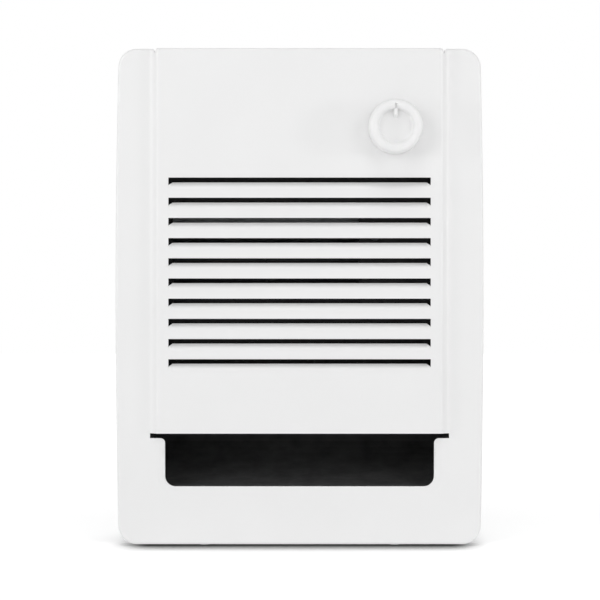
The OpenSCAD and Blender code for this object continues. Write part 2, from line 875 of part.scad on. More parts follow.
// One end bracket: a bridge across two posts, with a bearing boss
module motor_bracket(x_out, x_in, x_core) {
    difference() {
        union() {
            slab([min(x_out, x_in), max(x_out, x_in)], [22, 66], [2, 14]);
            for (y = [[22, 30], [58, 66]]) slab([min(x_out, x_core), max(x_out, x_core)], y, [2, 14]);
            bar_x(8, [min(x_out, x_in + (x_in - x_out) * 2), max(x_out, x_in + (x_in - x_out) * 2)],
                  axis_y, axis_z);
        }
        bar_x(bearing_r + 0.02, [50, 96], axis_y, axis_z);
        for (dy = [-bolt_dy, bolt_dy]) bar_x(2, [50, 96], axis_y + dy, axis_z);
    }
}

module motor_brackets() color("#b4b6b8") {
    motor_bracket(54, 56, core_x[0]);
    motor_bracket(90, 88, core_x[1]);
}

module motor_bearings() color("#a8763e") {
    for (x = [[54.2, 59.8], [84.2, 89.8]])
        difference() {
            bar_x(bearing_r, x, axis_y, axis_z);
            bar_x(shaft_r + running_gap, [x[0] - 1, x[1] + 1], axis_y, axis_z);
        }
}

module motor_spacers() color("#222222") {
    for (dy = [-bolt_dy, bolt_dy])
        difference() {
            bar_x(5, [right_plate_x[1], 54], axis_y + dy, axis_z);
            bar_x(2, [49, 55], axis_y + dy, axis_z);
        }
}

module motor_bolts() color("silver") {
    for (dy = [-bolt_dy, bolt_dy]) {
        bar_x(1.9, [47.3, 90], axis_y + dy, axis_z);
        translate([90, axis_y + dy, axis_z]) rotate([0, 90, 0]) cylinder(r = 3.8, h = 2.4, $fn = 6);
        nut_x(3.8, [47.5, right_plate_x[0]], axis_y + dy, axis_z, 1.95);
    }
}

module motor_rotor() color("#8a8c8e") {
    difference() {
        bar_x(rotor_r, [core_x[0] - 0.5, core_x[1] + 0.5], axis_y, axis_z);
        bar_x(shaft_r + 0.02, [60, 84], axis_y, axis_z);
    }
}

module motor_shaft() color("silver") {
    bar_x(shaft_r, [34, 93], axis_y, axis_z);
}

// ---------------------------------------------------------------- heating element

module element_tube() color("#6d6a66") {
    bend_r_tube = (run_y[1] - run_y[0]) / 2;
    for (y = run_y) bar_x(tube_r, [bend_x, 46.8], y, run_z);
    translate([bend_x, (run_y[0] + run_y[1]) / 2, run_z])
        rotate([0, 0, 90]) rotate_extrude(angle = 180) translate([bend_r_tube, 0]) circle(r = tube_r);
}

module element_fins() color("lightgray") {
    for (i = [0:fin_count - 1]) {
        x = fin_x + i * fin_pitch;
        difference() {
            slab([x, x + 0.5], [28, 80], [run_z - 12, run_z + 12]);
            for (y = run_y) bar_x(tube_r + 0.02, [x - 1, x + 1], y, run_z);
        }
    }
}

module element_insulators() color("ivory") {
    for (y = run_y)
        difference() {
            union() {
                bar_x(4.5, [46.9, 60], y, run_z);
                bar_x(6.5, [right_plate_x[1], 52.4], y, run_z);
            }
            bar_x(1.55, [46, 61], y, run_z);
        }
}

module element_pins() color("silver") {
    for (y = run_y) bar_x(1.5, [46.9, 67], y, run_z);
}

// Strap from the left end plate that carries the element's bent end
module element_bracket() color("silver") {
    difference() {
        union() {
            slab([-77.6, -76.8], [26, 82], [run_z - 12, -42]);
            slab([left_plate_x[1], -76.8], [26, 82], [-42.8, -42]);
            slab([left_plate_x[1], left_plate_x[1] + 0.8], [26, 82], [-42, -28]);
        }
        for (y = run_y) bar_x(tube_r + 0.02, [-78, -76], y, run_z);
    }
}

// ---------------------------------------------------------------- thermal cut-out

module limit_switch() color("#3a2a22") {
    bar_y(8, [11, 21], -30, -70);
    for (side = [-1, 1])
        slab([-30 + min(side * 7, side * 14), -30 + max(side * 7, side * 14)], [13, 13.8], [-73, -67]);
}

module limit_cup() color("silver") {
    bar_y(6, [23.6, 25.5], -30, -70);
    difference() {
        bar_y(8.6, [21, 23.6], -30, -70);
        bar_y(7, [20, 22], -30, -70);
    }
    difference() {
        slab([-48, -12], [22.8, 23.6], [-74, -66]);
        for (dx = [-13, 13]) bar_y(clear_r, [22, 25], -30 + dx, -70);
    }
}

module limit_screws() color("silver") {
    for (dx = [-13, 13]) screw_y(-30 + dx, 22.8, -70, 3, 1.6, 5);
}

// ---------------------------------------------------------------- wires

// A smooth path through hand-chosen points, straight in its first and last stretch
function spline(p, i, t) =
    let (
        a = p[max(i - 1, 0)], b = p[i], c = p[i + 1], d = p[min(i + 2, len(p) - 1)],
        t2 = t * t, t3 = t2 * t
    )
    0.5 * ((2 * b) + (c - a) * t + (2 * a - 5 * b + 4 * c - d) * t2 + (3 * b - a - 3 * c + d) * t3);
function smooth(p) = concat(
    [p[0]],
    [for (i = [1:len(p) - 3], k = [0:wire_steps - 1]) spline(p, i, k / wire_steps)],
    [p[len(p) - 2], p[len(p) - 1]]
);

// A direction square to t, as close to n as it can be
function square_to(n, t) = unit(n - t * (n * t));
function tangent(p, i) = unit(p[min(i + 1, len(p) - 1)] - p[max(i - 1, 0)]);
function carried_normals(p) =
    let (start = abs(tangent(p, 0)[2]) > 0.9 ? [1, 0, 0] : [0, 0, 1])
    [for (i = 0, n = square_to(start, tangent(p, 0)); i < len(p);
          i = i + 1, n = i < len(p) ? square_to(n, tangent(p, i)) : n) n];

module wire(route) {
    p = smooth(route);
    normals = carried_normals(p);
    loft([for (i = [0:len(p) - 1])
        let (u = normals[i], v = cross(tangent(p, i), u))
        [for (k = [0:wire_sides - 1]) let (a = -360 * k / wire_sides)
            p[i] + wire_r * (u * cos(a) + v * sin(a))]]);
}

line_route = [[-64.5, 12.5, 118], [-64.5, 12.5, 112], [-50, 20, 97], [-20, 40, 92], [25, 50, 96],
              [50, 54, 108], [58, 52, 119], [59, 46, 122], [59, 41, 122]];
load_route = [[81.5, 41, 122], [81.5, 46, 122], [90, 50, 112], [102, 48, 80], [104, 44, 30], [104, 24, -30],
              [90, 14, -68], [66, 13.2, -77.5], [49.8, 13.2, -78.2], [20, 13.2, -78],
              [-4, 13.2, -74], [-12, 13.4, -70], [-16, 13.4, -70]];
element_route = [[-44, 13.4, -70], [-48, 13.4, -70], [-54, 15, -77], [-48, 16.5, -86], [0, 16.5, -88],
                 [35, 16.8, -84], [49.8, 16.8, -81.8], [64, 22, -77], [76, 34, -64], [72, 41, -58], [67, 41, -58]];
neutral_route = [[-79.5, 12.5, 118], [-79.5, 12.5, 112], [-66, 30, 92], [-20, 66, 84], [40, 78, 80],
                 [86, 80, 62], [100, 80, 10], [96, 78, -40], [82, 68, -58], [76, 67, -58], [67, 67, -58]];
motor_route = [[77.9, 41, 122], [77.9, 50, 122], [88, 64, 112], [104, 70, 80], [108, 71, 20],
               [106, 60, -25], [96, 48, -37], [89, 48, -37]];
ground_route = [[-98, 88.7, 125], [-98, 84, 125], [-106, 66, 126], [-108, 44, 132], [-106, 24, 134],
                [-104, 14, 132], [-104, 7, 132]];

module line_wire() color("#202020") wire(line_route);
module load_wire() color("#b02a22") wire(load_route);
module element_wire() color("#b02a22") wire(element_route);
module neutral_wire() color("#e8e8e4") wire(neutral_route);
module motor_wire() color("#202020") wire(motor_route);
module ground_wire() color("#2f7d3a") wire(ground_route);

// ---------------------------------------------------------------- assembly

front_grille();
grille_hooks();
grille_screws();
knob();
knob_clip();
thermostat_shaft();
thermostat_cam();
thermostat_body();
thermostat_bush();
thermostat_nut();
thermostat_blades();
thermostat_terminals();
wall_box();
box_top();
box_bottom();
ground_screw();
chassis();
chassis_screws();
terminal_block();
terminal_screws();
left_end_plate();
right_end_plate();
end_plate_screws();
rear_guide();
vortex_tongue();
outlet_shelf();
outlet_deflector();
deflector_cheeks();
deflector_feet();
deflector_screws();
blower_wheel();
wheel_hub();
hub_screw();
stub_shaft();
bearing_bush();
bearing_rubber();
motor_core();
motor_bobbin();
motor_winding();
shading_rings();
motor_brackets();
motor_bearings();
motor_spacers();
motor_bolts();
motor_rotor();
motor_shaft();
element_tube();
element_fins();
element_insulators();
element_pins();
element_bracket();
limit_switch();
limit_cup();
limit_screws();
line_wire();
load_wire();
element_wire();
neutral_wire();
motor_wire();
ground_wire();
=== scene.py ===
import json
import math

import bpy
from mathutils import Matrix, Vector
from mathutils.geometry import delaunay_2d_cdt


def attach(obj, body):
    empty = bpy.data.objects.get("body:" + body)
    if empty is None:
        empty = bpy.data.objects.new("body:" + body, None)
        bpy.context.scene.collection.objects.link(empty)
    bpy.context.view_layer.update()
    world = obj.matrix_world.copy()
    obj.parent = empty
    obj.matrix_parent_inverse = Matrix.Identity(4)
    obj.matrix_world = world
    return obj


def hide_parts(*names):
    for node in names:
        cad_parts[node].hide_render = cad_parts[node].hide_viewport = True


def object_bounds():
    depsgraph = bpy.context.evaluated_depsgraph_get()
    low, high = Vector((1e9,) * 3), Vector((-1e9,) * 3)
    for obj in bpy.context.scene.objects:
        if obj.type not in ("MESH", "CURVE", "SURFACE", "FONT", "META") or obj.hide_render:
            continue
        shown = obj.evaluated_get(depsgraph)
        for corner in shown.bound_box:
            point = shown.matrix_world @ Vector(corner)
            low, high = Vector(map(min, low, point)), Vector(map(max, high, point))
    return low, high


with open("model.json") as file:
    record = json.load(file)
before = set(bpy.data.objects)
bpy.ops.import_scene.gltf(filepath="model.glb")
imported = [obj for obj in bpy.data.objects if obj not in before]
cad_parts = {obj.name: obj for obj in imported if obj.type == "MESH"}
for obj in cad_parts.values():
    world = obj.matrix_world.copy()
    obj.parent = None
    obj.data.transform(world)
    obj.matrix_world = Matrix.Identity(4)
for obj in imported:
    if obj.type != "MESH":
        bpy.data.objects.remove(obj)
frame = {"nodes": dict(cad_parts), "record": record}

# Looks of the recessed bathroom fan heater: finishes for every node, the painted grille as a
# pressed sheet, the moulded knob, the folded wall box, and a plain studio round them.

MM = 0.001
cad_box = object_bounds()


# ---------------------------------------------------------------- finishes

WAVE_RATE = 20                   # radians that a wave texture of scale 1 turns through in a unit


class Finish:
    """One procedural material: its shader, and the textures that feed the shader."""

    def __init__(self, name, roughness, metallic=0.0, specular=0.5, coat=0.0):
        self.material = bpy.data.materials.new(name)
        self.material.use_nodes = True
        self.tree = self.material.node_tree
        self.shader = self.tree.nodes["Principled BSDF"]
        self.shader.inputs["Roughness"].default_value = roughness
        self.shader.inputs["Metallic"].default_value = metallic
        self.shader.inputs["Specular IOR Level"].default_value = specular
        self.shader.inputs["Coat Weight"].default_value = coat
        self.place = self.node("ShaderNodeTexCoord").outputs["Object"]
        self.last_bump = None

    def node(self, kind, **settings):
        made = self.tree.nodes.new(kind)
        for key, value in settings.items():
            setattr(made, key, value)
        return made

    def link(self, source, target):
        self.tree.links.new(source, target)

    def stretched(self, stretch):
        mapping = self.node("ShaderNodeMapping")
        mapping.inputs["Scale"].default_value = stretch
        self.link(self.place, mapping.inputs["Vector"])
        return mapping.outputs["Vector"]

    def noise(self, size, detail=2.0, stretch=(1, 1, 1)):
        """Cloudy noise whose blotches are about `size` millimetres across."""
        made = self.node("ShaderNodeTexNoise")
        made.inputs["Scale"].default_value = 1 / (size * MM)
        made.inputs["Detail"].default_value = detail
        self.link(self.stretched(stretch), made.inputs["Vector"])
        return made.outputs["Fac"]

    def grains(self, size, stretch=(1, 1, 1)):
        """Cells about `size` millimetres across, each with a grey level of its own."""
        made = self.node("ShaderNodeTexVoronoi")
        made.inputs["Scale"].default_value = 1 / (size * MM)
        self.link(self.stretched(stretch), made.inputs["Vector"])
        parts = self.node("ShaderNodeSeparateColor")
        self.link(made.outputs["Color"], parts.inputs["Color"])
        return parts.outputs["Red"]

    def bands(self, pitch, axis, jitter=0.0):
        """Stripes `pitch` millimetres apart along an axis."""
        made = self.node("ShaderNodeTexWave", bands_direction=axis)
        made.inputs["Scale"].default_value = 2 * math.pi / (WAVE_RATE * pitch * MM)
        made.inputs["Distortion"].default_value = jitter
        made.inputs["Detail Scale"].default_value = 2.0
        self.link(self.place, made.inputs["Vector"])
        return made.outputs["Fac"]

    def spread(self, value, low, high, start=0.3, end=0.7):
        """A value between start and end, spread over low to high."""
        made = self.node("ShaderNodeMapRange")
        limits = {"From Min": start, "From Max": end, "To Min": low, "To Max": high}
        for key, number in limits.items():
            made.inputs[key].default_value = number
        self.link(value, made.inputs["Value"])
        return made.outputs["Result"]

    def tint(self, value, dark, light, start=0.3, end=0.7):
        """A colour from dark to light as a value goes from start to end."""
        ramp = self.node("ShaderNodeValToRGB")
        for stop, position, colour in zip(ramp.color_ramp.elements, (start, end), (dark, light)):
            stop.position = position
            stop.color = (*colour, 1)
        self.link(value, ramp.inputs["Fac"])
        return ramp.outputs["Color"]

    def mixed(self, factor, first, second):
        mix = self.node("ShaderNodeMix", data_type="RGBA")
        self.link(factor, mix.inputs["Factor"])
        self.link(first, mix.inputs["A"])
        self.link(second, mix.inputs["B"])
        return mix.outputs["Result"]

    def colour(self, source):
        self.link(source, self.shader.inputs["Base Color"])

    def roughness(self, source):
        self.link(source, self.shader.inputs["Roughness"])

    def bump(self, height, depth, strength=1.0):
        """Relief `depth` millimetres deep, on top of any relief added before."""
        made = self.node("ShaderNodeBump")
        made.inputs["Distance"].default_value = depth * MM
        made.inputs["Strength"].default_value = strength
        self.link(height, made.inputs["Height"])
        if self.last_bump:
            self.link(self.last_bump, made.inputs["Normal"])
        self.last_bump = made.outputs["Normal"]
        self.link(self.last_bump, self.shader.inputs["Normal"])


def shade(colour, factor):
    return tuple(min(1.0, part * factor) for part in colour)


def painted(name, colour, roughness, texture=0.006):
    """Sprayed paint: an even coat with a faint orange peel."""
    finish = Finish(name, roughness)
    drift = finish.noise(60, 1)
    finish.colour(finish.tint(drift, shade(colour, 0.985), colour))
    finish.roughness(finish.spread(finish.noise(9), roughness - 0.03, roughness + 0.05))
    finish.bump(finish.noise(2.2, 1), texture, 0.5)
    return finish


def stoved_black(name, colour, roughness):
    """Thin matt stove paint over sheet steel, a little patchy."""
    finish = Finish(name, roughness, specular=0.3)
    finish.colour(finish.tint(finish.noise(14, 3), shade(colour, 0.8), shade(colour, 1.25)))
    finish.roughness(finish.spread(finish.noise(4, 3), roughness - 0.06, roughness + 0.08))
    finish.bump(finish.noise(0.5, 2), 0.02, 0.6)
    return finish


def moulded(name, colour, roughness, texture=0.01, coat=0.0):
    """Moulded plastic with a fine spark-eroded grain."""
    finish = Finish(name, roughness, coat=coat)
    finish.colour(finish.tint(finish.noise(25, 1), shade(colour, 0.97), colour))
    finish.roughness(finish.spread(finish.noise(3), roughness - 0.04, roughness + 0.05))
    finish.bump(finish.noise(0.35, 1), texture, 0.5)
    return finish


def rolled_metal(name, colour, roughness, grain=(1, 1, 12), texture=0.006):
    """Sheet or turned metal with grain lines along the short direction of `grain`."""
    finish = Finish(name, roughness, metallic=1.0)
    lines = finish.noise(1.6, 3, grain)
    finish.colour(finish.tint(lines, shade(colour, 0.9), shade(colour, 1.06)))
    finish.roughness(finish.spread(lines, roughness - 0.07, roughness + 0.09))
    finish.bump(lines, texture, 0.5)
    return finish


def spangled(name, colour, roughness):
    """Hot-dip galvanised sheet: large frosty crystals that each catch the light differently."""
    finish = Finish(name, roughness, metallic=0.85)
    # a little noise in the place bends the edges of the crystals
    wobble = finish.node("ShaderNodeMix", data_type="VECTOR")
    wobble.inputs["Factor"].default_value = 0.004
    cloud = finish.node("ShaderNodeTexNoise")
    cloud.inputs["Scale"].default_value = 140
    finish.link(finish.place, cloud.inputs["Vector"])
    finish.link(finish.place, wobble.inputs["A"])
    finish.link(cloud.outputs["Color"], wobble.inputs["B"])
    finish.place = wobble.outputs["Result"]
    crystals = finish.grains(11)
    frost = finish.grains(5, (1, 1, 0.5))
    scuffs = finish.noise(30, 4)
    finish.colour(finish.mixed(
        finish.spread(frost, 0.15, 0.5, 0, 1),
        finish.tint(crystals, shade(colour, 0.8), shade(colour, 1.12), 0, 1),
        finish.tint(scuffs, shade(colour, 0.88), shade(colour, 1.05)),
    ))
    finish.roughness(finish.spread(crystals, roughness - 0.08, roughness + 0.14, 0, 1))
    finish.bump(finish.noise(0.8, 2), 0.006, 0.5)
    return finish


def laminated(name, colour, roughness):
    """Edges of stacked sheets, half a millimetre thick each, along X."""
    finish = Finish(name, roughness, metallic=0.8)
    edges = finish.bands(0.5, "X", 0.3)
    finish.colour(finish.tint(edges, shade(colour, 0.45), shade(colour, 1.1), 0.1, 0.5))
    finish.roughness(finish.spread(finish.noise(4, 3), roughness - 0.05, roughness + 0.12))
    finish.bump(edges, 0.08, 0.7)
    return finish


def wound(name, colour, roughness):
    """Enamelled wire laid in turns across X."""
    finish = Finish(name, roughness, metallic=0.7, coat=0.5)
    turns = finish.bands(0.6, "X", 0.8)
    finish.colour(finish.tint(turns, shade(colour, 0.45), shade(colour, 1.15), 0.05, 0.6))
    finish.bump(turns, 0.2, 0.8)
    return finish


def scaled_tube(name, colour, roughness):
    """Steel sheath darkened by heat, with straw patches."""
    finish = Finish(name, roughness, metallic=0.85)
    heat = finish.noise(22, 3)
    finish.colour(finish.tint(heat, shade(colour, 0.7), (0.34, 0.29, 0.22)))
    finish.roughness(finish.spread(finish.noise(3, 3), roughness - 0.08, roughness + 0.1))
    finish.bump(finish.noise(0.9, 3), 0.01, 0.6)
    return finish


WHITE = (0.86, 0.86, 0.86)
BLACK = (0.085, 0.085, 0.086)

finishes = {
    "grille_paint": painted("grille_paint", WHITE, 0.34),
    "knob_plastic": moulded("knob_plastic", (0.88, 0.88, 0.88), 0.38),
    "galvanised": spangled("galvanised", (0.53, 0.54, 0.55), 0.46),
    "plate_steel": rolled_metal("plate_steel", (0.5, 0.51, 0.52), 0.45),
    "zinc": rolled_metal("zinc", (0.72, 0.73, 0.75), 0.3, (1, 1, 4)),
    "white_screw": painted("white_screw", WHITE, 0.38),
    "green_screw": rolled_metal("green_screw", (0.06, 0.34, 0.13), 0.35, (1, 1, 4)),
    "black_paint": stoved_black("black_paint", BLACK, 0.62),
    # the deck and the blower wheel are black paint made darker still: painted shade, so that the
    # view through the louvres stays dark
    "deck_black": stoved_black("deck_black", (0.02, 0.02, 0.02), 0.7),
    "wheel_dark": stoved_black("wheel_dark", (0.03, 0.03, 0.032), 0.45),
    "brass": rolled_metal("brass", (0.76, 0.55, 0.24), 0.32, (4, 1, 1)),
    "bronze": rolled_metal("bronze", (0.42, 0.27, 0.13), 0.5, (1, 1, 1), 0.02),
    "copper": wound("copper", (0.66, 0.27, 0.11), 0.35),
    "steel": rolled_metal("steel", (0.6, 0.6, 0.61), 0.25, (0.4, 8, 8)),
    "core_steel": laminated("core_steel", (0.34, 0.35, 0.37), 0.45),
    "alloy": rolled_metal("alloy", (0.66, 0.67, 0.68), 0.48, (1, 1, 1), 0.03),
    "fin_alloy": rolled_metal("fin_alloy", (0.76, 0.77, 0.78), 0.33, (1, 10, 1)),
    "sheath": scaled_tube("sheath", (0.24, 0.23, 0.22), 0.48),
    "ceramic": moulded("ceramic", (0.8, 0.77, 0.68), 0.3, 0.01, coat=0.4),
    "phenolic": moulded("phenolic", (0.085, 0.042, 0.026), 0.4, 0.02),
    "nylon": moulded("nylon", (0.78, 0.74, 0.62), 0.45),
    "black_rubber": moulded("black_rubber", (0.025, 0.025, 0.025), 0.75, 0.03),
    "black_steel": rolled_metal("black_steel", (0.07, 0.07, 0.075), 0.42, (1, 1, 4)),
    "wire_black": moulded("wire_black", (0.02, 0.02, 0.021), 0.36, 0.006, coat=0.2),
    "wire_red": moulded("wire_red", (0.5, 0.03, 0.02), 0.36, 0.006, coat=0.2),
    "wire_white": moulded("wire_white", (0.8, 0.8, 0.78), 0.36, 0.006, coat=0.2),
    "wire_green": moulded("wire_green", (0.04, 0.33, 0.1), 0.36, 0.006, coat=0.2),
}
slot_of = {part["node"]: part["material_slot"] for part in frame["record"]["subparts"]}
body_of = {
    node: body for body, nodes in frame["record"]["behaviour"]["bodies"].items() for node in nodes
}


# ---------------------------------------------------------------- pieces

def piece(name, mesh, node):
    """A visible piece that stands for one node of the frame and moves with its body."""
    made = bpy.data.objects.new(name, mesh)
    bpy.context.scene.collection.objects.link(made)
    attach(made, body_of[node])
    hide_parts(node)
    slot = slot_of[node]
    made.data.materials.append(finishes[slot].material)


def broken_edges(made, width, angle=35):
    """Rounds a piece's sharp edges by `width` millimetres and evens out its shading."""
    bevel = made.modifiers.new("edges", "BEVEL")
    bevel.width = width * MM
    bevel.segments = 2
    bevel.limit_method = "ANGLE"
    bevel.angle_limit = math.radians(angle)
    bevel.use_clamp_overlap = False
    bevel.miter_outer = "MITER_ARC"
    smooth = made.modifiers.new("shading", "WEIGHTED_NORMAL")
    smooth.keep_sharp = True


def shaped_mesh(name, vertices, faces, normals=None):
    """A smooth mesh from points in millimetres, with a normal of its own for each if given."""
    mesh = bpy.data.meshes.new(name)
    mesh.from_pydata([Vector(vertex) * MM for vertex in vertices], [], faces)
    mesh.shade_smooth()
    if normals:
        mesh.normals_split_custom_set_from_vertices(normals)
    return mesh


def counter_clockwise(loop):
    """The same closed loop, turned round if it runs clockwise."""
    area = sum(ax * by - bx * ay for (ax, ay), (bx, by) in zip(loop, loop[1:] + loop[:1]))
    return loop if area > 0 else loop[::-1]


def plan_mesh(outline, holes, lines):
    """Points and triangles that fill an outline around its holes, with every line as edges."""
    points, edges, faces = [], [], []

    def add(path, closed):
        first = len(points)
        points.extend(Vector(point) for point in (counter_clockwise(path) if closed else path))
        last = len(points) - 1
        edges.extend((i, i + 1) for i in range(first, last))
        if closed:
            edges.append((last, first))
            faces.append(list(range(first, last + 1)))

    add(outline, True)
    for hole in holes:
        add(hole, True)
    for line in lines:
        add(line, False)
    found, _, triangles, _, _, owners = delaunay_2d_cdt(points, edges, faces, 0, 1e-4)
    kept = [tri for tri, owner in zip(triangles, owners) if owner == [0]]
    used = sorted({i for tri in kept for i in tri})
    renumbered = {old: new for new, old in enumerate(used)}
    return [found[i] for i in used], [[renumbered[i] for i in tri] for tri in kept]


PLAN_STEP = 0.01                 # between the points that give a pressing's normal
SHARPEST = 0.4                   # keeps the way out of a very sharp corner short


def pressed_sheet(name, node, outline, holes, lines, place, thickness, edge=0.15):
    """Sheet metal cut to a flat plan and pressed: place(u, v) gives each point's outer face.

    Every vertex takes the exact normal of the pressing, and every cut edge is rounded by `edge`.
    """
    flat, triangles = plan_mesh(outline, holes, lines)
    points, facing = [], []
    for u, v in flat:
        along_u = Vector(place(u + PLAN_STEP, v)) - Vector(place(u - PLAN_STEP, v))
        along_v = Vector(place(u, v + PLAN_STEP)) - Vector(place(u, v - PLAN_STEP))
        points.append(Vector(place(u, v)))
        facing.append(along_u.cross(along_v).normalized())

    inner = {(tri[k], tri[(k + 1) % 3]) for tri in triangles for k in range(3)}
    rim = [(a, b) for a, b in inner if (b, a) not in inner]
    sides = {}
    for a, b in rim:
        for i in (a, b):
            sides.setdefault(i, []).append((points[b] - points[a]).cross(facing[i]).normalized())
    # the way out from each point of the rim, longer at corners
    ways_out = {
        i: (first + second) / max(SHARPEST, 1 + first.dot(second))
        for i, (first, second) in sides.items()
    }

    # rows across a cut edge: how far drawn in, how deep, and the mix of normals
    slant = math.sqrt(0.5)
    bend = edge * (1 - slant)
    rows = [(bend, bend, slant, slant), (0, edge, 0, 1), (0, thickness - edge, 0, 1),
            (bend, thickness - bend, -slant, slant)]
    count = len(points)
    drawn_in = [ways_out[i] * edge if i in ways_out else Vector() for i in range(count)]
    vertices = [point - pull for point, pull in zip(points, drawn_in)]
    vertices += [face - up * thickness for face, up in zip(vertices, facing)]
    normals = facing + [-up for up in facing]
    levels = [{i: i for i in ways_out}]
    for pull, depth, face_share, side_share in rows:
        levels.append({})
        for i, way in ways_out.items():
            levels[-1][i] = len(vertices)
            vertices.append(points[i] - way * pull - facing[i] * depth)
            normals.append((facing[i] * face_share + way * side_share).normalized())
    levels.append({i: i + count for i in ways_out})

    faces = [tuple(tri) for tri in triangles]
    faces += [tuple(i + count for i in reversed(tri)) for tri in triangles]
    for upper, lower in zip(levels, levels[1:]):
        faces += [(upper[b], upper[a], lower[a], lower[b]) for a, b in rim]
    piece(name, shaped_mesh(name, vertices, faces, normals), node)


def arc(cx, cy, radius, start, end, steps):
    """Points on an arc, both ends included; angles in degrees."""
    return [
        (cx + radius * math.cos(math.radians(start + (end - start) * i / steps)),
         cy + radius * math.sin(math.radians(start + (end - start) * i / steps)))
        for i in range(steps + 1)
    ]


def circle(cx, cy, radius, steps=32):
    return arc(cx, cy, radius, 0, 360, steps)[:-1]


def eased(value):
    """Smooth step from 0 to 1."""
    value = min(1.0, max(0.0, value))
    return value * value * (3 - 2 * value)


# ---------------------------------------------------------------- front grille

PLATE_W, PLATE_H = 269, 362
SIDE_BOW = 2                     # how far the sides swell out between the corners
CORNER_R = 13.5
BORDER_Y, PANEL_Y = -22, -27
SHEET = 1.0
ROLL_R = 2.0
CORNER_X = PLATE_W / 2 - SIDE_BOW - CORNER_R
CORNER_Z = PLATE_H / 2 - CORNER_R
FLANGE = 20                      # flange in the flat plan, whatever its real depth
PLAN_END = PLATE_H / 2 + FLANGE

JOGGLE_FOOT = 110                # the slope from the border up to the centre panel starts here
JOGGLE_SLOPE = math.radians(50)
HOLLOW_R, CREST_R = 4.4, 2.5
PANEL_RISE = BORDER_Y - PANEL_Y
HOLLOW_W, HOLLOW_H = HOLLOW_R * math.sin(JOGGLE_SLOPE), HOLLOW_R * (1 - math.cos(JOGGLE_SLOPE))
CREST_W, CREST_H = CREST_R * math.sin(JOGGLE_SLOPE), CREST_R * (1 - math.cos(JOGGLE_SLOPE))
STRAIGHT_W = (PANEL_RISE - HOLLOW_H - CREST_H) / math.tan(JOGGLE_SLOPE)
JOGGLE_W = HOLLOW_W + STRAIGHT_W + CREST_W

LOUVRE_TOPS = [86.6 - 14.7 * i for i in range(10)]
LOUVRE_W = 95.5
LOUVRE_GAP, LOUVRE_RAMP, LOUVRE_DEPTH, LOUVRE_CURL = 3.3, 5.6, 4.2, 1.7
LOUVRE_NICK_W, LOUVRE_NICK_H = 2.8, 2.6
LOUVRE_FADE = 3.0                # a blade's ends rise to the panel over this
BESIDE_LOUVRES = 99.5            # between the louvres and the joggle

CUT_Z, SLOT_H = -99.9, 3.5
SLOT_Z = CUT_Z - SLOT_H
SLOT_W = 109.2
WINDOW_W, WINDOW_Z, WINDOW_R, SHOULDER_R = 98.2, -138.6, 7.5, 3.5
LIP_SIDE, LIP_FOOT, LIP_REACH, LIP_FADE = 1.2, 0.4, 6.0, 8

FLANGE_ROWS = [-13, -6.5]        # insets of the lines round the flange
LIP_ROWS = [0.8, 1.6, 2.6, 3.6, 4.8]

KNOB_X, KNOB_Z = 69.5, 123
SHAFT_HOLE_R = 4.75
FIX_X, FIX_Y, FIX_R = 70, -8, 2.25        # screw holes in the lower flange
NOTCH_X, NOTCH_FOOT = 105.5, 177.4        # relief where the panel's flange parts from the border's
NOTCH_HALF_W, NOTCH_MOUTH = 1.5, 2.0


def joggle(u):
    """Height of the slope beside the centre panel, u inward from its foot."""
    if u <= 0:
        return 0
    if u < HOLLOW_W:
        return HOLLOW_R - math.sqrt(HOLLOW_R ** 2 - u ** 2)
    if u < HOLLOW_W + STRAIGHT_W:
        return HOLLOW_H + (u - HOLLOW_W) * math.tan(JOGGLE_SLOPE)
    if u < JOGGLE_W:
        return PANEL_RISE - CREST_R + math.sqrt(CREST_R ** 2 - (JOGGLE_W - u) ** 2)
    return PANEL_RISE


def face_level(x, z):
    """Where the face of the border or of the raised panel lies."""
    rise = joggle(JOGGLE_FOOT - abs(x)) if z > CUT_Z - SLOT_H / 2 else 0
    return BORDER_Y - rise


def edge_of_plate(x, z):
    """How far a point of the plan lies inside the plate's edge, and the way out to that edge."""
    across, up = abs(x), abs(z)
    if across > CORNER_X and up > CORNER_Z:
        reach = math.hypot(across - CORNER_X, up - CORNER_Z)
        way = ((across - CORNER_X) / reach, (up - CORNER_Z) / reach)
        inset = CORNER_R - reach
    else:
        side = PLATE_W / 2 - across - SIDE_BOW * min(1, (up / CORNER_Z) ** 2)
        end = PLATE_H / 2 - up
        way = (1, 0) if side < end else (0, 1)
        inset = min(side, end)
    return inset, (math.copysign(way[0], x), math.copysign(way[1], z))


def plate_ring(inset):
    """The plate's outline, drawn in by inset, with its bowed sides and round corners."""
    half_w, half_h = PLATE_W / 2 - SIDE_BOW - inset, PLATE_H / 2 - inset
    side = [1 - 2 * i / 20 for i in range(1, 20)]
    end = [1 - 2 * i / 16 for i in range(1, 16)]
    ring = []
    for sx, sz, start in ((1, 1, 0), (-1, 1, 90), (-1, -1, 180), (1, -1, 270)):
        ring += arc(sx * CORNER_X, sz * CORNER_Z, CORNER_R - inset, start, start + 90, 12)
        if start in (0, 180):
            ring += [(sx * s * CORNER_X, sz * half_h) for s in end]
        else:
            ring += [(sx * (half_w + SIDE_BOW * (1 - s * s)), sz * s * CORNER_Z) for s in side]
    return ring


def louvre_press(x, z):
    """How far a louvre's blade is pressed in at a point."""
    for top in LOUVRE_TOPS:
        run = (top - LOUVRE_GAP - z) / LOUVRE_RAMP
        if abs(x) < LOUVRE_W and -LOUVRE_GAP / 2 / LOUVRE_RAMP < run < 1:
            depth = LOUVRE_DEPTH * (1 - max(0, run)) ** LOUVRE_CURL
            return depth * eased((LOUVRE_W - abs(x)) / LOUVRE_FADE)
    return 0


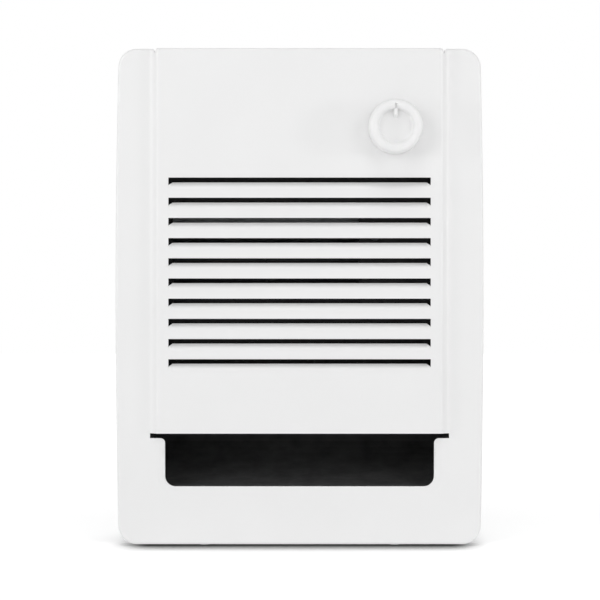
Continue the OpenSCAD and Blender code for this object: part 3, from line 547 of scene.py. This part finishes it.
def lip_press(x, z):
    """How far the border is drawn in beside the outlet window."""
    if z > SLOT_Z:
        return 0
    corner_x, corner_z = WINDOW_W - WINDOW_R, WINDOW_Z + WINDOW_R
    dx, dz = abs(x) - corner_x, corner_z - z
    if dx > 0 and dz > 0:
        gap = math.hypot(dx, dz) - WINDOW_R
        turn = math.atan2(dz, dx) / (math.pi / 2)
    else:
        gap = (dx if dx > 0 else dz) - WINDOW_R
        turn = 0 if dx > 0 else 1
    depth = LIP_SIDE + (LIP_FOOT - LIP_SIDE) * turn
    near_top = eased((SLOT_Z - SHOULDER_R - z) / LIP_FADE)
    return depth * near_top * (1 - eased(gap / LIP_REACH)) if gap < LIP_REACH else 0


def grille_point(x, z):
    """Outer face of the grille over its plan: flange, rolled edge, border and raised panel."""
    inset, way = edge_of_plate(x, z)
    if inset < 0:
        foot_x, foot_z = x + way[0] * inset, z + way[1] * inset
        start = face_level(foot_x, foot_z) + ROLL_R
        return foot_x, start * (1 + inset / FLANGE), foot_z
    level = face_level(x, z)
    if inset < ROLL_R:
        return x, level + ROLL_R - math.sqrt(ROLL_R ** 2 - (ROLL_R - inset) ** 2), z
    return x, level + louvre_press(x, z) + lip_press(x, z), z


def outlet_outline():
    """The slot and the window in one outline."""
    corner_x, corner_z = WINDOW_W - WINDOW_R, WINDOW_Z + WINDOW_R
    shoulder = WINDOW_W + SHOULDER_R
    left = [(-SLOT_W, CUT_Z), (-SLOT_W, SLOT_Z)]
    left += arc(-shoulder, SLOT_Z - SHOULDER_R, SHOULDER_R, 90, 0, 8)
    left += arc(-corner_x, corner_z, WINDOW_R, 180, 270, 12)
    return left + [(-x, z) for x, z in reversed(left)]


def window_ring(grow):
    """A line round the window's sides and foot, further out by grow."""
    corner_x, corner_z = WINDOW_W - WINDOW_R, WINDOW_Z + WINDOW_R
    top = SLOT_Z - SHOULDER_R
    heights = [top + (corner_z - top) * i / 8 for i in range(8)]
    left = [(-WINDOW_W - grow, z) for z in heights]
    left += arc(-corner_x, corner_z, WINDOW_R + grow, 180, 270, 12)
    return left + [(-x, z) for x, z in reversed(left)]


def louvre_hole(top):
    """The gap above a blade, with a nick down at each end."""
    gap = top - LOUVRE_GAP
    return [
        (-LOUVRE_W, top), (-LOUVRE_W, gap - LOUVRE_NICK_H), (-LOUVRE_W + LOUVRE_NICK_W, gap),
        (LOUVRE_W - LOUVRE_NICK_W, gap), (LOUVRE_W, gap - LOUVRE_NICK_H), (LOUVRE_W, top),
    ]


def split_line(start, end, reach=12):
    """A straight line in short steps, which keeps the triangles beside it shapely."""
    count = math.ceil(math.dist(start, end) / reach)
    return [tuple(a + (b - a) * i / count for a, b in zip(start, end)) for i in range(count + 1)]


def louvre_lines(top):
    """Rows down a blade, and columns where its ends fade out."""
    foot = top - LOUVRE_GAP - LOUVRE_RAMP
    rows = [foot + LOUVRE_RAMP * i / 8 for i in range(9)]
    lines = [split_line((-LOUVRE_W, z), (LOUVRE_W, z)) for z in rows]
    for side in (-1, 1):
        columns = [side * (LOUVRE_W - LOUVRE_FADE * i / 8) for i in range(9)]
        lines += [[(x, foot), (x, rows[-1])] for x in columns]
    return lines


def grille_holes():
    """Outlet, shaft hole, louvre gaps, screw holes and relief notches, in the plan."""
    holes = [outlet_outline(), circle(KNOB_X, KNOB_Z, SHAFT_HOLE_R)]
    holes += [louvre_hole(top) for top in LOUVRE_TOPS]
    stretch = FLANGE / (-BORDER_Y - ROLL_R)
    fix_z = -PLATE_H / 2 - (FLANGE + FIX_Y * stretch)
    for side in (-1, 1):
        ring = circle(0, 0, FIX_R)
        holes.append([(side * FIX_X + x, fix_z + z * stretch) for x, z in ring])
    notch = [
        (NOTCH_X - NOTCH_MOUTH, PLAN_END + 1), (NOTCH_X - NOTCH_HALF_W, PLATE_H / 2),
        (NOTCH_X, NOTCH_FOOT),
        (NOTCH_X + NOTCH_HALF_W, PLATE_H / 2), (NOTCH_X + NOTCH_MOUTH, PLAN_END + 1),
    ]
    return holes + [[(side * x, z) for x, z in notch] for side in (-1, 1)]


def grille_lines():
    """Lines along the flange, the rolled edge, the joggles, the louvres and the outlet's lip."""
    roll = [ROLL_R * (1 - math.cos(math.radians(90 * i / 8))) for i in range(9)]
    rings = [plate_ring(inset) for inset in FLANGE_ROWS + roll]
    lines = [ring + ring[:1] for ring in rings]
    steps = [HOLLOW_W * i / 6 for i in range(7)] + [JOGGLE_W - CREST_W * i / 5 for i in range(6)]
    for side in (-1, 1):
        for u in steps:
            x = side * (JOGGLE_FOOT - u)
            lines.append(split_line((x, CUT_Z), (x, PLAN_END)))
        x = side * BESIDE_LOUVRES
        lines.append(split_line((x, CUT_Z + 3), (x, PLATE_H / 2 - 2 * ROLL_R)))
    for top in LOUVRE_TOPS:
        lines += louvre_lines(top)
    return lines + [window_ring(grow) for grow in LIP_ROWS + [LIP_REACH]]


def front_grille():
    pressed_sheet("grille_sheet", "front_grille", plate_ring(-FLANGE),
                  grille_holes(), grille_lines(), grille_point, SHEET)


front_grille()


# ---------------------------------------------------------------- knob

KNOB_R, KNOB_H, KNOB_GAP = 19.5, 19.5, 0.5
DISH = [(0, 0.5), (3, 0.48), (6, 0.36), (8.2, 0.18)]      # radius, and depth in the recess's floor
RECESS_R, RECESS_D, RECESS_FILLET = 12.5, 7.0, 1.3
RIM_R = (KNOB_R - RECESS_R) / 2
WALL_ROWS, FOOT_R = (12, 8, 4), 0.5       # heights down the outer wall, and its rounded foot
CAVITY_R, CAVITY_H = 17.5, 10.5
BOSS_R, BORE_R, BORE_H = 5.5, 3.02, 11
MARK_RUN, MARK_DEPTH, MARK_END = (12.7, 16.1), 2.0, 0.5
MARK_HALF_ANGLE, MARK_FLANK_ANGLE = 3.8, 1.8
FIN_RUN, FIN_HALF_W, FIN_FLARE = (6.3, 13.6), 1.45, 0.25
FIN_FOOT, FIN_TOP = KNOB_H - RECESS_D - 1, KNOB_H - 2.8
FIN_LEAD, FIN_NOSE = 0.3, 2.4    # the nose starts this far before the fin and rises over this
FLANK_SHARE, FLANK_DROP = 0.7, 0.6        # the flanks end at this share of the fin, less the drop


def knob_profile():
    """Radius and height, from the dish over the rim and back under to the shaft's bore."""
    floor, rim_h = KNOB_H - RECESS_D, KNOB_H - RIM_R
    profile = [(radius, floor - depth) for radius, depth in DISH]
    profile += arc(RECESS_R - RECESS_FILLET, floor + RECESS_FILLET, RECESS_FILLET, -90, 0, 8)
    profile += arc(RECESS_R + RIM_R, rim_h, RIM_R, 180, 0, 28)
    profile += [(KNOB_R, height) for height in WALL_ROWS]
    profile += arc(KNOB_R - FOOT_R, FOOT_R, FOOT_R, 0, -90, 4)
    profile += [(CAVITY_R, 0), (CAVITY_R, CAVITY_H), (BOSS_R, CAVITY_H), (BOSS_R, 0)]
    profile += [(BORE_R, 0), (BORE_R, BORE_H), (0, BORE_H)]
    return profile


def knob_angles():
    """Even steps round the knob, with close ones across the mark at the top."""
    even = [angle for angle in range(0, 360, 3) if abs(angle - 90) > 5]
    beside_mark = [1.2, 2.0, 2.6, 3.2, 3.8, 4.6]
    close = [90 - angle for angle in beside_mark] + [90] + [90 + angle for angle in beside_mark]
    return sorted(even + close)


def mark_sunk(radius, angle):
    """How far the mark sinks the rim at a radius and an angle."""
    start, end = MARK_RUN
    along = eased((radius - start) / MARK_END) * eased((end - radius) / MARK_END)
    return MARK_DEPTH * along * eased((MARK_HALF_ANGLE - abs(angle - 90)) / MARK_FLANK_ANGLE)


def fin_sections():
    """Sections along the pointer fin: a bar with a round back, from its sloping nose to the rim."""
    start, end = FIN_RUN
    sections = []
    for i in range(17):
        reach = start + (end - start) * i / 16
        risen = math.sqrt(eased((reach - start + FIN_LEAD) / FIN_NOSE))
        top = FIN_FOOT + (FIN_TOP - FIN_FOOT) * risen
        shoulder = FIN_FOOT + FLANK_SHARE * (top - FIN_FOOT) - FLANK_DROP
        section = [(FIN_HALF_W + FIN_FLARE, FIN_FOOT), (FIN_HALF_W, shoulder)]
        section += arc(0, top - FIN_HALF_W, FIN_HALF_W, 0, 180, 8)
        section += [(-FIN_HALF_W, shoulder), (-FIN_HALF_W - FIN_FLARE, FIN_FOOT)]
        sections.append([(x, reach, max(FIN_FOOT, h)) for x, h in section])
    return sections


def turned_knob():
    angles = knob_angles()
    rings, vertices, faces = [], [], []
    for radius, height in knob_profile():
        if radius == 0:
            rings.append([len(vertices)] * len(angles))
            vertices.append((0, 0, height))
            continue
        rings.append(list(range(len(vertices), len(vertices) + len(angles))))
        for angle in angles:
            x, z = radius * math.cos(math.radians(angle)), radius * math.sin(math.radians(angle))
            vertices.append((x, z, height - mark_sunk(radius, angle)))
    for inner, outer in zip(rings, rings[1:]):
        for i in range(len(angles)):
            j = (i + 1) % len(angles)
            quad = [inner[i], outer[i], outer[j], inner[j]]
            faces.append(tuple(dict.fromkeys(quad)))

    sections = fin_sections()
    first, last, across = len(vertices), len(sections) - 1, len(sections[0])
    for section in sections:
        vertices += section
    for s in range(last):
        for i in range(across - 1):
            a = first + s * across + i
            faces.append((a, a + 1, a + across + 1, a + across))
    faces.append(tuple(first + i for i in reversed(range(across))))
    faces.append(tuple(first + last * across + i for i in range(across)))

    front = PANEL_Y - KNOB_GAP
    placed = [(KNOB_X + x, front - h, KNOB_Z + z) for x, z, h in vertices]
    mesh = shaped_mesh("knob_turned", placed, faces)
    mesh.set_sharp_from_angle(angle=math.radians(50))
    piece("knob_turned", mesh, "knob")


turned_knob()


# ---------------------------------------------------------------- wall box

BOX_W, BOX_D, BOX_H = 232, 92, 322
BOX_T, FOLD_R = 0.9, 1.6
STUD_Y, STUD_Z, STUD_R = 30, 110, 2.75
KNOCKOUT_X, KNOCKOUT_Z, KNOCKOUT_R, KNOCKOUT_SINK = 60, 100, 11.1, 0.4
SCORE_HALF_W, SCORE_EDGE = 0.45, 0.2      # the scored ring of a knockout
SCORE_ROWS = (0, 0.2, 0.7, 0.9)
BEAD_X, BEAD_Z, BEAD_HALF_W, BEAD_SINK = 42, (-118, 58), 5, 1.6
BEAD_ROWS = (0, 0.6, 1.25, 1.9, 2.5)
LUG_X, LUG_Y, LUG_Z, LUG_SIZE = (101, 115.5), 7, (-86, 145), 7
LUG_HOLE_X = 107
GROUND_X, GROUND_Z = -98, 125
SCREW_HOLE_R = 1.65
TAB_Z, TAB_REACH = (-77, 104), 12.5       # side tabs, which end the view past the louvres' ends

SIDE_RUN = BOX_D - FOLD_R
FOLD_RUN = FOLD_R * math.pi / 2
BACK_RUN = BOX_W - 2 * FOLD_R
BOX_RUN = 2 * (SIDE_RUN + FOLD_RUN) + BACK_RUN


def box_wall(u):
    """Point and way out on the folded wall, from its right front edge round the back."""
    if u > BOX_RUN / 2:
        (x, y), (nx, ny) = box_wall(BOX_RUN - u)
        return (-x, y), (-nx, ny)
    if u <= SIDE_RUN:
        return (BOX_W / 2, u), (1, 0)
    if u <= SIDE_RUN + FOLD_RUN:
        turn = (u - SIDE_RUN) / FOLD_R
        out = (math.cos(turn), math.sin(turn))
        return (BOX_W / 2 - FOLD_R + FOLD_R * out[0], SIDE_RUN + FOLD_R * out[1]), out
    return (BOX_W / 2 - FOLD_R - (u - SIDE_RUN - FOLD_RUN), BOX_D), (0, 1)


def back_sink(x, z):
    """How far the back is pressed in by the knockouts and the stiffening beads."""
    disc = math.hypot(abs(x) - KNOCKOUT_X, z - KNOCKOUT_Z)
    off_score = abs(disc - KNOCKOUT_R + SCORE_HALF_W)
    sink = KNOCKOUT_SINK * eased((SCORE_HALF_W - off_score) / SCORE_EDGE)
    low, high = BEAD_Z
    off_end = max(low + BEAD_HALF_W - z, z - high + BEAD_HALF_W, 0)
    across = math.hypot(abs(x) - BEAD_X, off_end) / BEAD_HALF_W
    return sink + BEAD_SINK * eased((1 - across) * 2)


def box_point(u, z):
    """Outer face of the box's wall over its plan."""
    (x, y), (nx, ny) = box_wall(u)
    sink = back_sink(x, z) if y == BOX_D else 0
    return x - nx * sink, y - ny * sink, z


def bead_ring(middle, inset):
    """A long ring with round ends inside a bead's edge, in the plan."""
    radius = BEAD_HALF_W - inset
    low, high = BEAD_Z[0] + BEAD_HALF_W, BEAD_Z[1] - BEAD_HALF_W
    return arc(middle, high, radius, 0, 180, 12) + arc(middle, low, radius, 180, 360, 12)


def along_plan(x):
    """How far along the plan a point of the back lies."""
    return BOX_RUN / 2 - x


def folded_box():
    half = BOX_H / 2 - BOX_T
    holes = [circle(u, z, STUD_R) for u in (STUD_Y, BOX_RUN - STUD_Y) for z in (-STUD_Z, STUD_Z)]
    holes.append(circle(along_plan(GROUND_X), GROUND_Z, SCREW_HOLE_R, 20))
    folds = [SIDE_RUN + FOLD_RUN * i / 4 for i in range(5)]
    lines = [[(u, -half), (u, half)] for u in folds + [BOX_RUN - u for u in folds]]
    for side in (-1, 1):
        knockout, bead = along_plan(side * KNOCKOUT_X), along_plan(side * BEAD_X)
        rings = [circle(knockout, KNOCKOUT_Z, KNOCKOUT_R - inset, 48) for inset in SCORE_ROWS]
        rings += [bead_ring(bead, inset) for inset in BEAD_ROWS]
        lines += [ring + ring[:1] for ring in rings]
    low, high = TAB_Z
    outline = [
        (0, -half), (BOX_RUN, -half),
        (BOX_RUN, low), (BOX_RUN + TAB_REACH, low), (BOX_RUN + TAB_REACH, high), (BOX_RUN, high),
        (BOX_RUN, half), (0, half),
        (0, high), (-TAB_REACH, high), (-TAB_REACH, low), (0, low),
    ]
    pressed_sheet("box_wall", "wall_box", outline, holes, lines, box_point, BOX_T)
    for side in (-1, 1):
        left, right = sorted(side * reach for reach in LUG_X)
        for z in LUG_Z:
            foot, head = z - LUG_SIZE, z + LUG_SIZE
            lug = [(left, foot), (right, foot), (right, head), (left, head)]
            hole = circle(side * LUG_HOLE_X, z, SCREW_HOLE_R, 20)
            pressed_sheet("box_lug", "wall_box", lug, [hole], [],
                          lambda u, v: (u, LUG_Y, v), BOX_T)


folded_box()


# ---------------------------------------------------------------- remaining nodes

def softened(node, width):
    """Merges a node's loose triangles and rounds its sharp edges, on top of its own mesh."""
    made = frame["nodes"][node]
    weld = made.modifiers.new("weld", "WELD")
    weld.merge_threshold = 0.002 * MM
    flat = made.modifiers.new("flat", "DECIMATE")
    flat.decimate_type = "DISSOLVE"
    flat.angle_limit = math.radians(0.2)
    broken_edges(made, width)


for node, slot in slot_of.items():
    for material_slot in frame["nodes"][node].material_slots:
        material_slot.material = finishes[slot].material
for node in ("box_top", "box_bottom"):
    softened(node, width=0.35)


# ---------------------------------------------------------------- studio

AMBIENT = 0.4


def where_seen(tree, number, seen):
    """A number that gives way to `seen`, a number or a socket, for the camera and reflections."""
    path = tree.nodes.new("ShaderNodeLightPath")
    rays = path.outputs["Is Camera Ray"]
    for name in ("Is Glossy Ray", "Is Transmission Ray"):
        more = tree.nodes.new("ShaderNodeMath")
        more.operation = "MAXIMUM"
        tree.links.new(rays, more.inputs[0])
        tree.links.new(path.outputs[name], more.inputs[1])
        rays = more.outputs[0]
    mix = tree.nodes.new("ShaderNodeMix")
    tree.links.new(rays, mix.inputs["Factor"])
    mix.inputs["A"].default_value = number
    if isinstance(seen, (int, float)):
        mix.inputs["B"].default_value = seen
    else:
        tree.links.new(seen, mix.inputs["B"])
    return mix.outputs["Result"]


def studio_world():
    world = bpy.data.worlds.new("studio")
    bpy.context.scene.world = world
    world.use_nodes = True
    tree = world.node_tree
    tree.nodes["Background"].inputs["Color"].default_value = (1, 1, 1, 1)
    tree.links.new(where_seen(tree, AMBIENT, 1), tree.nodes["Background"].inputs["Strength"])


FLOOR_HALF = 6.0
FLOOR_DROP = 0.05 * MM           # below the part
FLOOR_GREY = 0.8
GLOW_NEAR, GLOW_FAR = 0.52, 0.8
GLOW_START, GLOW_END = 0.4, 2.0
BOUNCE = 0.24                    # glow that also lights the part
CONTACT_REACH = 0.048
CONTACT_DARKEST = (0.45, 0.05)   # how open a place is, and its grey
CONTACT_GREYS = ((0.62, 0.24), (0.75, 0.52), (0.88, 0.84))
CONTACT_FADE = (0.110, 0.146)    # the plate's corners lift off the paper, so the shadow fades there


def floor_paper():
    """White paper that glows a little, and a contact shadow only for the camera and reflections."""
    paper = bpy.data.materials.new("floor_paper")
    paper.use_nodes = True
    tree = paper.node_tree
    tree.nodes.remove(tree.nodes["Principled BSDF"])

    def node(kind, **numbers):
        made = tree.nodes.new(kind)
        for key, number in numbers.items():
            made.inputs[key.replace("_", " ")].default_value = number
        return made

    # contact shadow: how open each point is to its near surroundings
    contact = node("ShaderNodeAmbientOcclusion", Distance=CONTACT_REACH)
    contact.samples = 8
    openness = node("ShaderNodeValToRGB")
    stops = openness.color_ramp.elements
    position, grey = CONTACT_DARKEST
    stops[0].position, stops[0].color = position, (grey, grey, grey, 1)
    stops[1].position, stops[1].color = 1, (1, 1, 1, 1)
    for position, grey in CONTACT_GREYS:
        stops.new(position).color = (grey, grey, grey, 1)
    tree.links.new(contact.outputs["AO"], openness.inputs["Fac"])
    place = node("ShaderNodeTexCoord")
    axes = node("ShaderNodeSeparateXYZ")
    tree.links.new(place.outputs["Object"], axes.inputs[0])
    aside = node("ShaderNodeMath")
    aside.operation = "ABSOLUTE"
    tree.links.new(axes.outputs["X"], aside.inputs[0])
    ends = node("ShaderNodeMapRange", From_Min=CONTACT_FADE[0], From_Max=CONTACT_FADE[1])
    ends.interpolation_type = "SMOOTHSTEP"
    tree.links.new(aside.outputs[0], ends.inputs["Value"])
    faded = node("ShaderNodeMix", B=1)
    tree.links.new(ends.outputs["Result"], faded.inputs["Factor"])
    tree.links.new(openness.outputs["Color"], faded.inputs["A"])
    shadow = where_seen(tree, 1, faded.outputs["Result"])
    shaded = node("ShaderNodeMath")
    shaded.operation = "MULTIPLY"
    shaded.inputs[1].default_value = FLOOR_GREY
    tree.links.new(shadow, shaded.inputs[0])
    matt = node("ShaderNodeBsdfDiffuse")
    tree.links.new(shaded.outputs[0], matt.inputs["Color"])

    # glow that keeps the paper white to the camera, also far from the lamps
    distance = node("ShaderNodeVectorMath")
    distance.operation = "LENGTH"
    tree.links.new(place.outputs["Object"], distance.inputs[0])
    reach = node("ShaderNodeMapRange", From_Min=GLOW_START, From_Max=GLOW_END,
                 To_Min=GLOW_NEAR, To_Max=GLOW_FAR)
    tree.links.new(distance.outputs["Value"], reach.inputs["Value"])
    glow = node("ShaderNodeEmission")
    tree.links.new(shadow, glow.inputs["Color"])
    tree.links.new(where_seen(tree, BOUNCE, reach.outputs["Result"]), glow.inputs["Strength"])
    both = node("ShaderNodeAddShader")
    tree.links.new(matt.outputs[0], both.inputs[0])
    tree.links.new(glow.outputs[0], both.inputs[1])
    tree.links.new(both.outputs[0], tree.nodes["Material Output"].inputs["Surface"])
    return paper


def studio_floor():
    half, level = FLOOR_HALF, cad_box[0][2] - FLOOR_DROP
    corners = [(x * half, y * half, level) for x, y in ((-1, -1), (1, -1), (1, 1), (-1, 1))]
    mesh = bpy.data.meshes.new("floor")
    mesh.from_pydata(corners, [], [(0, 1, 2, 3)])
    mesh.materials.append(floor_paper())
    floor = bpy.data.objects.new("floor", mesh)
    bpy.context.scene.collection.objects.link(floor)


# name, place, size in metres and power in watts; each lamp faces the origin
LAMPS = [
    ("key", (-2.0, -2.9, 1.05), 1.6, 23.5),
    ("fill", (2.05, -2.9, 1.05), 1.6, 17.5),
    ("left strip", (-2.6, -1.0, 0.2), 0.4, 9),
    ("right strip", (2.6, -1.0, 0.2), 0.4, 9),
    ("back", (1.7, 2.6, 2.2), 1.2, 11),
    ("top", (0, -1.6, 2.9), 1.4, 14.5),
]


def softbox(name, place, size, power):
    lamp = bpy.data.lights.new(name, "AREA")
    lamp.shape = "DISK"
    lamp.size = size
    lamp.energy = power
    holder = bpy.data.objects.new(name, lamp)
    holder.location = place
    holder.rotation_euler = (Vector() - Vector(place)).to_track_quat("-Z", "Y").to_euler()
    bpy.context.scene.collection.objects.link(holder)


CAMERA_REACH = 1.7               # from the lens to the border of the plate
CAMERA_X, CAMERA_Z = 0.00033, -0.00256
SENSOR = 36
LENS = 139.7


def studio_camera():
    lens = bpy.data.cameras.new("camera")
    lens.sensor_width = SENSOR
    lens.lens = LENS
    holder = bpy.data.objects.new("camera", lens)
    holder.location = (CAMERA_X, BORDER_Y * MM - CAMERA_REACH, CAMERA_Z)
    holder.rotation_euler = (math.radians(90), 0, 0)
    bpy.context.scene.collection.objects.link(holder)
    bpy.context.scene.camera = holder


studio_world()
studio_floor()
for lamp in LAMPS:
    softbox(*lamp)
studio_camera()
bpy.context.scene.view_settings.view_transform = "Standard"
